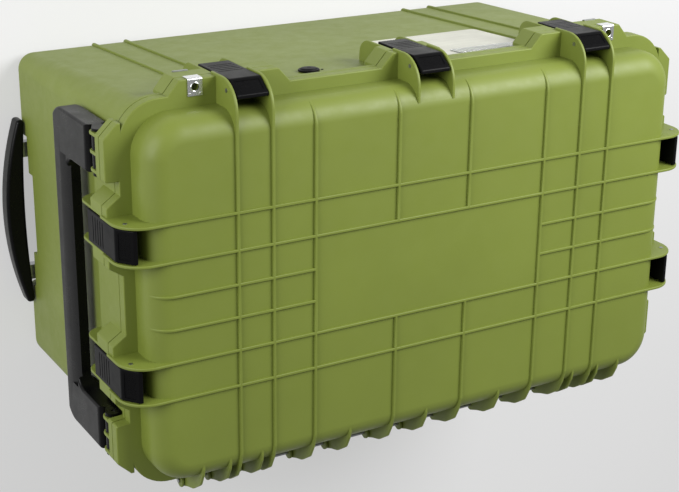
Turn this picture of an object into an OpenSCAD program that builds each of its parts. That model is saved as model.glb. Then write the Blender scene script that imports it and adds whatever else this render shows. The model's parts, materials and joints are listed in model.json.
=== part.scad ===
// Large wheeled equipment case, lying on its base with the lid on top.
// +X points to the pull-handle end, -Y to the side with three latches, +Z up.
// The origin is on the floor, under the middle of the case.

/* [Case] */
// Height of the base shell, from its underside to the parting plane
base_h = 365; // [340:5:380]
// Height of the lid, from the parting plane to its flat face
lid_h = 60; // [58:1:62]
// Length of the lid body, between its end walls
lid_l = 734; // [724:2:740]
// Depth of the lid body, between its latch-side and hinge-side walls
lid_d = 440; // [434:2:446]
// Radius of the upright corners of the lid body
lid_corner = 46; // [40:1:52]
// Radius of the lid's upper edges
lid_edge = 27; // [24:1:30]
// Thickness of the moulded walls
wall = 4.5; // [4:0.5:5]

/* [Rim] */
// How far the rims stand out from the lid body
rim_out = 14; // [13:0.5:15]
// Height of each rim
rim_h = 14; // [12:0.5:15]
// How far the lugs stand out from the rims
lug_out = 16.5; // [16:0.5:17.5]
// Gap between the closed rims
rim_gap = 0.4; // [0.3:0.1:0.6]

/* [Ribs and fins] */
// Thickness of the ribs and fins
fin_t = 3.6; // [3:0.2:4]
// Height of the ribs on the lid's face
rib_h = 3; // [2.5:0.5:3.5]
// How far the latch fins stand out from the rims
fin_out = 19; // [18.5:0.5:19.5]

/* [Latches] */
// Distance of the outer front latches from the middle
latch_x = 238.6; // [234:0.2:242]
// Distance of the end latches from the middle
latch_y = 83.2; // [80:0.2:86]
// Width of a latch lever
lever_w = 39.2; // [38:0.2:39.6]
// Radius of the latch pivot pins
latch_pin_r = 2.5; // [2:0.25:3]
// Radius of the catch pins
catch_r = 3; // [2.5:0.25:3.25]

/* [Hinge] */
// How far the hinge axis stands out from the rims
hinge_out = 11; // [10.5:0.5:11.5]
// Radius of the hinge rod
hinge_r = 2.5; // [2:0.25:3]
// Outer radius of the hinge knuckles
knuckle_r = 8.5; // [8:0.5:8.5]

/* [Side handles] */
// Depth of the handles' pivots below the parting plane
handle_drop = 24; // [24:1:30]
// Length of a handle along the end wall
handle_l = 400; // [396:2:404]

/* [Pull handle] */
// Length of the grip
grip_l = 252; // [240:4:260]
// Distance between the two tubes, centre to centre
tube_span = 170; // [160:2:176]
// Width of a tube
tube_w = 20; // [18:1:22]
// Height of a tube
tube_h = 12; // [10:1:13]

/* [Wheels] */
// Radius of the tyres
tyre_r = 42; // [38:1:42]
// Width of the tyres
tyre_w = 34; // [30:1:35]
// Distance of the wheels from the middle of the case
wheel_y = 160; // [156:1:162]
// Radius of the axles
axle_r = 4; // [3.5:0.5:5]

/* [Fittings] */
// Radius of the padlock holes
padlock_r = 4.5; // [4:0.25:5]
// Radius of the pressure valve's flange
valve_r = 13; // [12:0.5:15]
// Width of the label
label_w = 173; // [150:1:176]
// Height of the label
label_h = 135; // [110:1:138]
// Height of the rubber feet
foot_h = 5; // [4:0.5:6]

/* [Hidden] */
$fn = 64;
CUT = 1;                  // overlap of a cutting solid
RUN = 0.05;               // radial clearance of a running fit
SIDE = 0.4;               // side clearance between moving faces
part_z = foot_h + base_h; // height of the parting plane
face_z = part_z + lid_h;
rim_l = lid_l + 2 * rim_out;
rim_d = lid_d + 2 * rim_out + 1;
rim_corner = lid_corner + 4;
end_x = rim_l / 2;        // end face of the rims
front_y = rim_d / 2;      // latch-side face of the rims
hinge_y = front_y + hinge_out;

// Base walls lean in towards the underside
base_l_top = lid_l + 6;
base_l_low = lid_l - 4;
front_top = lid_d / 2 + 6.8;
front_low = lid_d / 2 - 10.6;
back_top = lid_d / 2 - 6;
back_low = lid_d / 2 - 13;
base_corner = 40;
base_low_corner = 21;        // radius of the upright corners at the underside
base_edge = 12;
lean_h = base_h - base_edge;  // height over which the walls lean
draft = atan((front_top - front_low) / lean_h);
base_lug_h = 26;
end_lug_h = 34;
handle_lug_h = 12;
flare_h = 38;                 // height over which the wall spreads out to the rim
rim_band_h = 7;               // upright part of the base rim
band_l = 284;                 // thick band on each end wall, between the handle combs
band_h = 62;
band_slope = 10;
deep_x = 340;                 // well inside the end walls
rib_proud = 2.6;              // how far the ribs stand out from the base wall

// Lugs along the rims: from, to, slope before, slope after
CENTRE_LUG = [-33, 33, 15, 15];
OUTER_LUG = [184, 307, 15, 14];
END_LUG = [47, 118, 11, 12];
HANDLE_LUG = [147, 196, 0.01, 16];

// Seal and foam in the lid
gasket_w = 6;
gasket_l = rim_l - 20;
gasket_d = rim_d - 20;
gasket_corner = rim_corner - 10;
gasket_top = part_z + 6.4;
gasket_low = part_z + 2.9;
foam_t = 26;
foam_corner = 24;

// Ribs: distances from the middle of the lid
rib_x_long = [161.7, latch_x - 22.2, latch_x + 22.2];
rib_x_short = 50.3;
rib_y_long = [latch_y - 22.3, latch_y + 22.3];
rib_y_short = 19.9;

// Latch sites: [position along the wall, turn about Z, half the distance between its fins]
SITES = [
    [-latch_x, 0, 22.2], [0, 0, 24], [latch_x, 0, 22.2],
    [-latch_y, -90, 22.3], [latch_y, -90, 22.3],
    [-latch_y, 90, 22.3], [latch_y, 90, 22.3],
];
// Latch pivots as [distance out from the rim, height above the parting plane]
lever_at = [6, 40];
hook_at = [7.5, 8];
catch_at = [6, -34];
hook_w = 22;
hook_pin_r = 2;

// Knuckles of the lid, as distances from the middle
hinge_x = [0, 50.3, 111, 161.7, 216.4, 232, 260.8, 274, 309];
knuckle_pitch = fin_t + SIDE;
rod_l = 2 * (hinge_x[8] + knuckle_pitch + fin_t);

// Padlock holes
padlock_x = 288.5;
padlock_y = front_y + 7.5;
plate_t = 1.2;
base_plate_leg = 4;
plate_w = 18;

// Side handle
handle_arm = 55;
handle_x = end_x + 5;
handle_z = part_z - handle_drop;
handle_in = end_x - 9.5;
handle_out = end_x + 16.5;
handle_grip_in = end_x - 1;
handle_low = part_z - 151;
handle_grip_h = 44;
handle_fins = [152, 173, 194.5];
handle_fin_t = 4;
handle_boss = 10;
comb_r = handle_boss + 1.5;
comb_top = 5;
handle_pin_r = 2.5;

// Pull handle
grip_out = end_x + 16;
grip_end_out = end_x - 5;
grip_in = end_x - 9;
grip_end_in = end_x - 15;
grip_z = 7;
grip_h = 23;
tube_wall = 1.5;
tube_from = -55;
tube_z = 12;
channel_y = 104;
channel_z = 31;
channel_x = -70;
scoop_x = end_x - 41;
scoop_y = 55;
scoop_z = 45;
sleeve_x = end_x - 93;
stop_l = 13;
cover_z = 2.2;
cover_t = 2.7;
screw_r = 1.85;

// Wheels
axle_x = 36 - end_x;
axle_z = 44;
well_x = 84 - end_x;
well_z = 94;
well_w = 48;
cheek = 4;
bearing_r = 11;
bearing_w = 7;
hub_r = 28;

// Pressure valve and label on the latch-side wall
valve_x = 110;
valve_z = part_z - 50;
valve_stem_r = 7;
label_x = -123.5;
label_z = part_z - 103;
window_w = 92;
window_h = 22;

GREEN = "#96a35f";
BLACK = "#1c1c1d";
STEEL = "#c9cbcc";
RUBBER = "#26282a";

// ---------- shared shapes ----------

// Position of the leaning walls at height z
function leaning(low, top, z) = low + (top - low) * (z - foot_h - base_edge) / lean_h;
function front_at(z) = leaning(front_low, front_top, z);
function end_at(z) = leaning(base_l_low, base_l_top, z) / 2;

module round_rect(l, d, r) {
    square([l - 2 * r, d], center = true);
    square([l, d - 2 * r], center = true);
    for (x = [-1, 1], y = [-1, 1])
        translate([x * (l / 2 - r), y * (d / 2 - r)]) circle(r);
}

module round_ring(l, d, r, t) {
    difference() {
        round_rect(l, d, r);
        round_rect(l - 2 * t, d - 2 * t, r - t);
    }
}

// Section across a slab of width d with round upper edges
module slab_section(d, h, edge) {
    translate([-d / 2, 0]) square([d, h - edge]);
    translate([edge - d / 2, 0]) square([d - 2 * edge, h]);
    for (side = [-1, 1]) translate([side * (d / 2 - edge), h - edge]) circle(edge);
}

// A section drawn in (Y, Z), given a thickness along X
module across_y(t) {
    rotate([90, 0, 90]) linear_extrude(t, center = true) children();
}

// Slab standing on z = 0 with round upright corners and round upper edges
module round_slab(l, d, h, corner, edge) {
    across_y(l - 2 * corner) slab_section(d, h, edge);
    rotate([0, 0, 90]) across_y(d - 2 * corner) slab_section(l, h, edge);
    for (x = [-1, 1], y = [-1, 1])
        translate([x * (l / 2 - corner), y * (d / 2 - corner), 0])
            rotate_extrude() intersection() {
                slab_section(2 * corner, h, edge);
                square([corner, h]);
            }
}

// Outline drawn as (distance out from the rim, height), given a width along the rim
module outward(w) {
    rotate([90, 0, -90]) linear_extrude(w, center = true) children();
}

module at_site(s) {
    if (s[1] == 0) translate([s[0], -front_y, part_z]) children();
    else rotate([0, 0, s[1]])
        translate([sign(s[1]) * s[0], -end_x, part_z]) children();
}

// Cylinder along the rim, through a point given as [out, up]
module rod_at(at, r, l) {
    translate([0, -at[0], at[1]]) rotate([0, 90, 0]) cylinder(r = r, h = l, center = true);
}

module ends() {
    children();
    mirror([1, 0, 0]) children();
}

module both_y() {
    children();
    mirror([0, 1, 0]) children();
}

// ---------- rims, lugs and fins ----------

// Lug along a straight rim, with a sloping flank at each end
module lug(l) {
    root = -2;
    polygon([
        [l[0] - l[2], 0], [l[0], lug_out], [l[1], lug_out], [l[1] + l[3], 0],
        [l[1] + l[3], root], [l[0] - l[2], root],
    ]);
}

module front_lugs() {
    translate([0, -front_y]) mirror([0, 1]) difference() {
        union() {
            lug(CENTRE_LUG);
            for (side = [-1, 1]) scale([side, 1]) lug(OUTER_LUG);
        }
        for (s = SITES) if (s[1] == 0)
            translate([s[0] - s[2], 0]) square([2 * s[2], lug_out + CUT]);
    }
}

module end_latch_lugs() {
    for (turn = [-90, 90]) rotate(turn) translate([0, -end_x]) mirror([0, 1]) difference() {
        for (side = [-1, 1]) scale([side, 1]) lug(END_LUG);
        for (s = SITES) if (s[1] == turn)
            translate([s[0] - s[2], 0]) square([2 * s[2], lug_out + CUT]);
    }
}

module handle_lugs() {
    for (turn = [-90, 90]) rotate(turn) translate([0, -end_x]) mirror([0, 1])
        for (side = [-1, 1]) scale([side, 1]) lug(HANDLE_LUG);
}

module rim_outline() {
    round_rect(rim_l, rim_d, rim_corner);
    front_lugs();
    end_latch_lugs();
    handle_lugs();
}

// Upper part of a latch fin, running from the rim over the lid's edge
module lid_fin_outline(top) {
    r = 36;
    intersection() {
        translate([fin_out - r, top - r]) circle(r);
        translate([-30, 0]) square([60, top]);
    }
    translate([-30, rim_gap]) square([30 + fin_out, top - r - rim_gap]);
    translate([-30, top - r]) square([30 + fin_out - r, r]);
}

// Lower part of a latch fin, with a round end on the base wall
module base_fin_outline() {
    r = 19.5;
    low = -56;
    translate([-20, low]) square([20 + lug_out, -low]);
    translate([lug_out - r, low]) circle(r);
    translate([-20, low - r]) square([20 + lug_out - r, r]);
}

module latch_fins(base) {
    for (s = SITES) at_site(s) for (side = [-1, 1])
        translate([side * s[2], 0, 0]) outward(fin_t)
            if (base) base_fin_outline();
            else lid_fin_outline(s[0] == 0 ? lid_h - 0.1 : lid_h + rib_h);
}

// Lid knuckle: a blade that grows out of the lid's edge and runs down to the hinge axis
module lid_knuckle_outline() {
    from = lid_d / 2 - 34;
    translate([hinge_y, 0]) circle(knuckle_r);
    polygon([
        [from, lid_h - 0.2], [from + 15, lid_h - 0.4], [hinge_y - 32, lid_h - 2],
        [hinge_y - 24, lid_h - 4.8], [hinge_y - 16, lid_h - 10], [hinge_y - 8, 41],
        [hinge_y - 2, 30], [hinge_y + 2.5, 16], [hinge_y + knuckle_r, 0],
        [hinge_y - knuckle_r, 0], [hinge_y - knuckle_r, rim_gap], [from, rim_gap],
    ]);
}

// Base knuckle: a bracket from the base wall up to the hinge axis
module base_knuckle_outline() {
    translate([hinge_y, 0]) circle(knuckle_r);
    polygon([
        [back_top - 14, -44], [back_top + 2, -40], [hinge_y + 6, -6],
        [hinge_y - 6, 0], [back_top - 14, 0],
    ]);
}

module knuckles(base) {
    shift = base ? knuckle_pitch : 0;
    for (x = hinge_x, side = [-1, 1])
        if (base || x > 0 || side > 0)
            translate([side * (x + shift), 0, part_z]) across_y(fin_t)
                if (base) base_knuckle_outline();
                else lid_knuckle_outline();
}

module hinge_bore(r) {
    translate([0, hinge_y, part_z]) rotate([0, 90, 0])
        cylinder(r = r, h = rod_l + 2 * CUT, center = true);
}

// ---------- lid ----------

// Rib that runs over the lid's face and fades out on two of its round edges
module face_rib(l, along_x) {
    rotate([0, 0, along_x ? 90 : 0])
        across_y(fin_t) intersection() {
            slab_section(l - 1, lid_h + rib_h, lid_edge + 2.5);
            translate([-l, rim_h + 6]) square([2 * l, lid_h]);
        }
}

module face_ribs() {
    translate([0, 0, part_z]) {
        for (side = [-1, 1]) {
            for (x = rib_x_long) translate([side * x, 0, 0]) face_rib(lid_d, false);
            for (y = rib_y_long) translate([0, side * y, 0]) face_rib(lid_l, true);
            difference() {
                translate([side * rib_x_short, 0, 0]) face_rib(lid_d, false);
                cube([lid_l, 2 * rib_y_long[0], 3 * lid_h], center = true);
            }
            difference() {
                translate([0, side * rib_y_short, 0]) face_rib(lid_l, true);
                cube([2 * rib_x_long[0], lid_d, 3 * lid_h], center = true);
            }
        }
    }
}

module lid_shell() {
    color(GREEN) difference() {
        union() {
            translate([0, 0, part_z + rim_gap])
                round_slab(lid_l, lid_d, lid_h - rim_gap, lid_corner, lid_edge);
            translate([0, 0, part_z + rim_gap]) linear_extrude(rim_h - rim_gap) rim_outline();
            latch_fins(false);
            knuckles(false);
            face_ribs();
        }
        translate([0, 0, part_z - CUT]) round_slab(
            lid_l - 2 * wall, lid_d - 2 * wall, lid_h + CUT - wall,
            lid_corner - wall, lid_edge - wall
        );
        translate([0, 0, part_z - CUT]) linear_extrude(gasket_top - part_z + CUT)
            round_ring(gasket_l, gasket_d, gasket_corner, gasket_w + SIDE);
        for (s = SITES) at_site(s) rod_at(lever_at, latch_pin_r + RUN, 60);
        hinge_bore(hinge_r + RUN);
        padlock_bores(part_z, rim_h + CUT);
    }
}

module lid_gasket() {
    color(RUBBER) translate([0, 0, gasket_low]) linear_extrude(gasket_top - gasket_low)
        round_ring(gasket_l - SIDE, gasket_d - SIDE, gasket_corner - SIDE / 2, gasket_w);
}

module lid_foam() {
    inset = wall + lid_edge - 6;
    color("#3a3d41") translate([0, 0, face_z - wall - foam_t])
        linear_extrude(foam_t - SIDE / 2) round_rect(lid_l - 2 * inset, lid_d - 2 * inset, foam_corner);
}

module padlock_bores(z, h) {
    ends() translate([padlock_x, -padlock_y, z - CUT])
        cylinder(r = padlock_r, h = h + 2 * CUT);
}

// Folded steel plate round one padlock hole, lying on z = 0 and folding down over the lug
module padlock_plate(leg) {
    difference() {
        union() {
            translate([-plate_w / 2, -(front_y + lug_out), 0])
                cube([plate_w, 19, plate_t]);
            translate([-plate_w / 2, -(front_y + lug_out + plate_t), -leg])
                cube([plate_w, plate_t, leg + plate_t]);
        }
        translate([0, -padlock_y, -CUT]) cylinder(r = padlock_r, h = plate_t + 2 * CUT);
    }
}

module lid_padlock_plates() {
    color(STEEL) ends() translate([padlock_x, 0, part_z + rim_h]) padlock_plate(rim_h - 2);
}

module base_padlock_plates() {
    color(STEEL) ends() translate([padlock_x, 0, part_z - base_lug_h])
        mirror([0, 0, 1]) padlock_plate(base_plate_leg);
}

// ---------- base ----------

// Leaning block with round corners: the outside of the base, or the inside for inset > 0
module base_block(inset) {
    r = base_low_corner - inset;
    e = base_edge - inset;
    hull() {
        for (x = [-1, 1], y = [-1, 1]) {
            depth_top = (y < 0 ? front_top : back_top) - base_corner;
            depth_low = (y < 0 ? front_low : back_low) - base_low_corner;
            translate([x * (base_l_top / 2 - base_corner), y * depth_top, part_z - CUT])
                cylinder(r = base_corner - inset, h = CUT + (inset > 0 ? CUT : 0), $fn = 32);
            translate([x * (base_l_low / 2 - base_low_corner), y * depth_low, foot_h + base_edge])
                rotate_extrude($fn = 32) {
                    translate([r - e, 0]) intersection() {
                        circle(e);
                        translate([0, -e]) square(e);
                    }
                    translate([0, -e]) square([r - e, e]);
                }
        }
    }
}

// The base wall spreads smoothly out to the rim
module base_flare() {
    hull() {
        translate([0, 0, part_z - rim_band_h]) linear_extrude(rim_band_h)
            round_rect(rim_l, rim_d, rim_corner);
        translate([0, -4, part_z - flare_h]) linear_extrude(CUT)
            round_rect(rim_l - 26, rim_d - 28, rim_corner - 6);
    }
}

// Thick band under the rim, between the two handle combs of each end
module end_band() {
    low = part_z - band_h - band_slope;
    ends() rotate([90, 0, 0]) linear_extrude(band_l, center = true) polygon([
        [deep_x, part_z], [end_x, part_z], [end_x, part_z - band_h],
        [end_at(low), low], [deep_x, low],
    ]);
}

module base_lugs() {
    translate([0, 0, part_z - base_lug_h]) linear_extrude(base_lug_h) front_lugs();
    translate([0, 0, part_z - end_lug_h]) linear_extrude(end_lug_h) end_latch_lugs();
    translate([0, 0, part_z - handle_lug_h]) linear_extrude(handle_lug_h) handle_lugs();
}

// Thin fins that carry the side handles' pins
module handle_combs() {
    ends() both_y() for (y = handle_fins)
        translate([0, y, 0]) rotate([90, 0, 0]) linear_extrude(handle_fin_t, center = true) {
            translate([handle_x, handle_z]) circle(comb_r);
            translate([deep_x, handle_z - comb_r])
                square([handle_x - deep_x, part_z - comb_top - handle_z + comb_r]);
            translate([deep_x, handle_z])
                square([handle_x + comb_r - deep_x, part_z - comb_top - handle_z]);
        }
}

module wall_ribs() {
    low = foot_h + base_edge;
    high = part_z - 60;
    for (side = [-1, 1], x = [latch_x - 22.2, latch_x + 22.2])
        translate([side * x, 0, 0]) mirror([0, 1, 0]) across_y(fin_t) polygon([
            [front_at(high) - rib_proud, high], [front_at(high) + rib_proud, high],
            [front_low + rib_proud, low], [front_low + rib_proud, low - 4],
            [front_low - rib_proud, foot_h + 2], [front_low - 2 * base_edge, low],
        ]);
}

// Space for the pull handle's tubes, open below
module pull_channel(t) {
    translate([channel_x - t, -channel_y - t, -CUT])
        cube([500, 2 * (channel_y + t), channel_z + t + CUT]);
}

module finger_scoop(t) {
    translate([scoop_x - t, -scoop_y - t, -CUT])
        cube([100, 2 * (scoop_y + t), scoop_z + t + CUT]);
}

module wheel_wells(t) {
    for (y = [-wheel_y, wheel_y])
        translate([-450, y - well_w / 2 - t, -CUT])
            cube([450 + well_x + t, well_w + 2 * t, well_z + t + CUT]);
}

module base_interior() {
    difference() {
        base_block(wall);
        pull_channel(wall);
        finger_scoop(wall);
        wheel_wells(wall);
    }
}

module base_shell() {
    color(GREEN) difference() {
        union() {
            base_block(0);
            base_flare();
            end_band();
            base_lugs();
            latch_fins(true);
            handle_combs();
            knuckles(true);
            wall_ribs();
        }
        base_interior();
        pull_channel(0);
        finger_scoop(0);
        wheel_wells(0);
        for (s = SITES) at_site(s) rod_at(catch_at, catch_r + RUN, 60);
        hinge_bore(hinge_r + RUN);
        padlock_bores(part_z - base_lug_h, base_lug_h);
        ends() both_y() handle_pin(handle_pin_r + RUN, CUT);
        on_wall(valve_x, valve_z) cylinder(r = valve_stem_r + RUN, h = 60, center = true);
        screw_holes() cylinder(r = screw_r + RUN, h = 3.6 + CUT);
    }
    // Ridge that presses into the gasket
    color(GREEN) translate([0, 0, part_z]) linear_extrude(gasket_low - SIDE - part_z)
        round_ring(gasket_l - 3, gasket_d - 3, gasket_corner - 1.5, 3.4);
}

// ---------- hinge and latches ----------

module hinge_rod() {
    color(STEEL) translate([0, hinge_y, part_z]) rotate([0, 90, 0])
        cylinder(r = hinge_r, h = rod_l, center = true);
}

module lever_outline() {
    difference() {
        polygon([
            [17.5, -42], [17.5, 36], [14.5, 41], [4.5, 55], [0, 57.5], [-1.5, 56],
            [-1.5, 24], [2, 19], [2, -22], [7.5, -28], [14.5, -42],
        ]);
        translate([17.5, -47]) circle(7);
    }
}

module latch_lever(i) {
    grooves = 5;
    color(BLACK) at_site(SITES[i]) difference() {
        outward(lever_w) lever_outline();
        translate([0, 0, -14]) outward(hook_w + 2 * SIDE) square([27, 72], center = true);
        rod_at(lever_at, latch_pin_r + RUN, 60);
        rod_at(hook_at, hook_pin_r + RUN, 60);
        for (g = [0 : grooves - 1])
            translate([0, -17.5, 2 - 7 * g]) cube([lever_w - 8, 2, 2.4], center = true);
    }
}

module hook_outline() {
    translate(hook_at) circle(5);
    translate([9.5, -42]) square([3.2, 50]);
    polygon([[3, -42], [12.7, -42], [12.7, -37.8], [4.5, -37.8], [3, -39]]);
    translate([7.5, -4]) square([5.2, 12]);
}

module latch_hook(i) {
    color(STEEL) at_site(SITES[i]) difference() {
        outward(hook_w) hook_outline();
        rod_at(hook_at, hook_pin_r + RUN, 60);
    }
}

module hook_pin(i) {
    color(STEEL) at_site(SITES[i]) rod_at(hook_at, hook_pin_r, lever_w);
}

module latch_pivot_pins() {
    color(STEEL) for (s = SITES) at_site(s)
        rod_at(lever_at, latch_pin_r, 2 * s[2] + fin_t + 1);
}

module latch_catch_pins() {
    color(STEEL) for (s = SITES) at_site(s)
        rod_at(catch_at, catch_r, 2 * s[2] + fin_t);
}

// ---------- side handles ----------

module handle_pin(r, extra) {
    length = handle_arm - 3;
    translate([handle_x, handle_l / 2 - handle_arm / 2, handle_z]) rotate([90, 0, 0])
        cylinder(r = r, h = length + 2 * extra, center = true);
}

module side_handle_pins() {
    color(STEEL) ends() both_y() handle_pin(handle_pin_r, 0);
}

// Arm seen along Y, from the pivot down to the grip
module arm_section() {
    translate([handle_x, handle_z]) circle(handle_boss);
    polygon([
        [handle_x - handle_boss, handle_z], [handle_x + handle_boss, handle_z],
        [handle_out, handle_z - 14], [handle_out, handle_low + 6],
        [handle_out - 8, handle_low], [handle_in + 9, handle_low],
        [handle_in, handle_low + 40], [handle_in, handle_z - 14],
    ]);
}

module grip_section() {
    top = handle_low + handle_grip_h;
    polygon([
        [handle_out - 8, handle_low], [handle_out, handle_low + 6],
        [handle_out, top - 17], [handle_out - 6, top],
        [handle_grip_in + 2, top], [handle_grip_in, top - 3], [handle_grip_in, handle_low],
    ]);
}

module side_handle() {
    slot_low = handle_z - handle_boss - 4;
    difference() {
        union() {
            both_y() translate([0, handle_l / 2 - handle_arm / 2, 0])
                rotate([90, 0, 0]) linear_extrude(handle_arm, center = true) arm_section();
            rotate([90, 0, 0]) linear_extrude(handle_l - 10, center = true) grip_section();
        }
        both_y() for (y = handle_fins)
            translate([350, y - handle_fin_t / 2 - SIDE, slot_low])
                cube([60, handle_fin_t + 2 * SIDE, 40]);
        both_y() handle_pin(handle_pin_r + RUN, 4);
        both_y() corner_cut();
    }
}

// Rounds the lower outer corners of a handle
module corner_cut() {
    r = 28;
    y = handle_l / 2 - r;
    z = handle_low + r;
    difference() {
        translate([350, y, z - r - CUT]) cube([60, r + CUT, r + CUT]);
        translate([340, y, z]) rotate([0, 90, 0]) cylinder(r = r, h = 80);
    }
}

module side_handle_right() {
    color(BLACK) side_handle();
}

module side_handle_left() {
    color(BLACK) mirror([1, 0, 0]) side_handle();
}

// ---------- valve and label ----------

// Places children on the leaning latch-side wall, with +Z pointing out of it
module on_wall(x, z) {
    translate([x, -front_at(z), z]) rotate([90 + draft, 0, 0]) children();
}

module valve_body() {
    color(BLACK) on_wall(valve_x, valve_z) {
        translate([0, 0, 0.2]) cylinder(r = valve_r, h = 3);
        translate([0, 0, 3]) cylinder(r = valve_r - 2, h = 2);
        translate([0, 0, -14]) cylinder(r = valve_stem_r, h = 15);
    }
}

module valve_o_ring() {
    color(RUBBER) on_wall(valve_x, valve_z) translate([0, 0, -wall - 1.6])
        rotate_extrude() translate([valve_stem_r + 1.7, 0]) circle(1.5);
}

module valve_nut() {
    color(BLACK) on_wall(valve_x, valve_z) translate([0, 0, -13]) difference() {
        cylinder(r = 12, h = 5, $fn = 6);
        translate([0, 0, -CUT]) cylinder(r = valve_stem_r + RUN, h = 5 + 2 * CUT);
    }
}

module label_card() {
    color("#eceee2") on_wall(label_x, label_z) translate([0, 0, 0.1]) linear_extrude(1.6)
        round_rect(label_w, label_h, 8);
}

module label_window() {
    at = [-(label_w - window_w) / 2 + 18, (label_h - window_h) / 2 - 3, 1.8];
    color("#dfe6e2") on_wall(label_x, label_z) translate(at) linear_extrude(1.5)
        round_rect(window_w, window_h, 3);
}

// ---------- pull handle ----------

module bow_outline() {
    half = grip_l / 2;
    rise_out = grip_out - grip_end_out;
    rise_in = grip_in - grip_end_in;
    r_out = (half * half + rise_out * rise_out) / (2 * rise_out);
    r_in = (half * half + rise_in * rise_in) / (2 * rise_in);
    difference() {
        intersection() {
            translate([grip_out - r_out, 0]) circle(r_out, $fn = 720);
            translate([grip_end_in, -half]) square([50, grip_l]);
        }
        translate([grip_in - r_in, 0]) circle(r_in, $fn = 1440);
    }
}

module pull_grip() {
    color(BLACK) difference() {
        translate([0, 0, grip_z]) linear_extrude(grip_h) bow_outline();
        tubes_at(grip_end_in - CUT, grip_end_in + 9, 0, SIDE / 4);
    }
}

// Two bars where the tubes run: from and to along X, shrunk by inset or grown by grow
module tubes_at(from, to, inset, grow) {
    w = tube_w - 2 * inset + 2 * grow;
    h = tube_h - 2 * inset + 2 * grow;
    for (side = [-1, 1])
        translate([from, side * tube_span / 2 - w / 2, tube_z + tube_h / 2 - h / 2])
            cube([to - from, w, h]);
}

module pull_tubes() {
    color(STEEL) difference() {
        tubes_at(tube_from, grip_end_in + 9 - SIDE / 2, 0, 0);
        tubes_at(tube_from - CUT, grip_end_in + 20, tube_wall, 0);
    }
}

module tube_stops() {
    w = tube_w + 4;
    color(BLACK) {
        for (side = [-1, 1])
            translate([tube_from - stop_l, side * tube_span / 2 - w / 2, tube_z - 2])
                cube([stop_l - 0.1, w, tube_h + 4]);
        tubes_at(tube_from - 2, tube_from + 12, tube_wall + 0.15, 0);
    }
}

module handle_guide() {
    back = channel_x - 14;
    front = scoop_x - 2;
    flange = channel_y + 12;
    color(BLACK) difference() {
        union() {
            translate([back, -flange, cover_z]) cube([front - back, 2 * flange, cover_t]);
            for (side = [-1, 1])
                translate([sleeve_x, side * tube_span / 2 - tube_w / 2 - 4, cover_z])
                    cube([front - sleeve_x, tube_w + 8, channel_z - cover_z - SIDE]);
        }
        tubes_at(sleeve_x - CUT, front + CUT, 0, SIDE);
        guide_screw_places() translate([0, 0, -CUT]) cylinder(r = screw_r + RUN, h = 10);
    }
}

module guide_screw_places() {
    for (x = [-60 : 126 : 318], side = [-1, 1])
        translate([x, side * (channel_y + 8), cover_z]) children();
}

module screw() {
    translate([0, 0, -1.4]) cylinder(r1 = 3, r2 = 3.6, h = 1.4);
    cylinder(r = screw_r, h = 6);
}

module guide_screws() {
    color(STEEL) guide_screw_places() screw();
}

// ---------- wheels ----------

module housing_screw_places() {
    for (y = [-wheel_y, wheel_y], side = [-1, 1])
        translate([well_x + 10, y + side * 14, cover_z]) children();
}

module screw_holes() {
    guide_screw_places() translate([0, 0, cover_t]) children();
    housing_screw_places() translate([0, 0, cover_t]) children();
}

module housing_screws() {
    color(STEEL) housing_screw_places() screw();
}

module wheel_housings() {
    outer = well_w - 2 * SIDE;
    from = -end_at(axle_z) + 2;
    color(BLACK) for (y = [-wheel_y, wheel_y]) translate([0, y, 0]) difference() {
        union() {
            translate([from, -outer / 2, cover_z])
                cube([well_x - SIDE - from, outer, well_z - cover_z - SIDE]);
            translate([well_x - 14, -outer / 2, cover_z]) cube([34, outer, cover_t]);
        }
        translate([axle_x, 0, axle_z]) rotate([90, 0, 0])
            cylinder(r = tyre_r + 3, h = outer - 2 * cheek, center = true);
        translate([-450, cheek - outer / 2, 0])
            cube([450 + axle_x, outer - 2 * cheek, axle_z + tyre_r + 3]);
        translate([-450, cheek - outer / 2, -CUT])
            cube([450 + axle_x + tyre_r + 3, outer - 2 * cheek, axle_z]);
        translate([axle_x, 0, axle_z]) rotate([90, 0, 0])
            cylinder(r = axle_r + RUN, h = well_w, center = true);
        for (side = [-1, 1]) translate([well_x + 10, side * 14, 0])
            cylinder(r = screw_r + RUN, h = 10);
    }
}

module wheel_axles() {
    color(STEEL) for (y = [-wheel_y, wheel_y])
        translate([axle_x, y, axle_z]) rotate([90, 0, 0])
            cylinder(r = axle_r, h = well_w - 2 * SIDE, center = true);
}

module wheel_turned(y) {
    translate([axle_x, y, axle_z]) rotate([90, 0, 0]) rotate_extrude() children();
}

module wheel_tyre(y) {
    color(RUBBER) wheel_turned(y) difference() {
        translate([hub_r, -tyre_w / 2]) square([tyre_r - hub_r, tyre_w]);
        for (side = [-1, 1]) translate([tyre_r, side * tyre_w / 2]) circle(4);
    }
}

module wheel_hub(y) {
    half = tyre_w / 2 - 1;
    color(BLACK) difference() {
        wheel_turned(y) {
            translate([hub_r - 4, -half]) square([4 - RUN, 2 * half]);
            translate([bearing_r, -2.5]) square([hub_r - bearing_r - 2, 5]);
            translate([bearing_r + RUN / 2, -half]) square([4, 2 * half]);
            translate([axle_r + 2, -half + bearing_w + 1])
                square([bearing_r - axle_r, 2 * (half - bearing_w - 1)]);
        }
        for (a = [0 : 60 : 300])
            translate([axle_x, y, axle_z]) rotate([90, a, 0]) translate([19.5, 0, 0])
                cylinder(r = 3, h = tyre_w, center = true);
    }
}

module wheel_bearings(y) {
    half = tyre_w / 2 - 1;
    color(STEEL) wheel_turned(y) for (side = [-1, 1])
        translate([axle_r + RUN, side * (half - bearing_w / 2) - bearing_w / 2])
            square([bearing_r - axle_r - RUN, bearing_w]);
}

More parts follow.
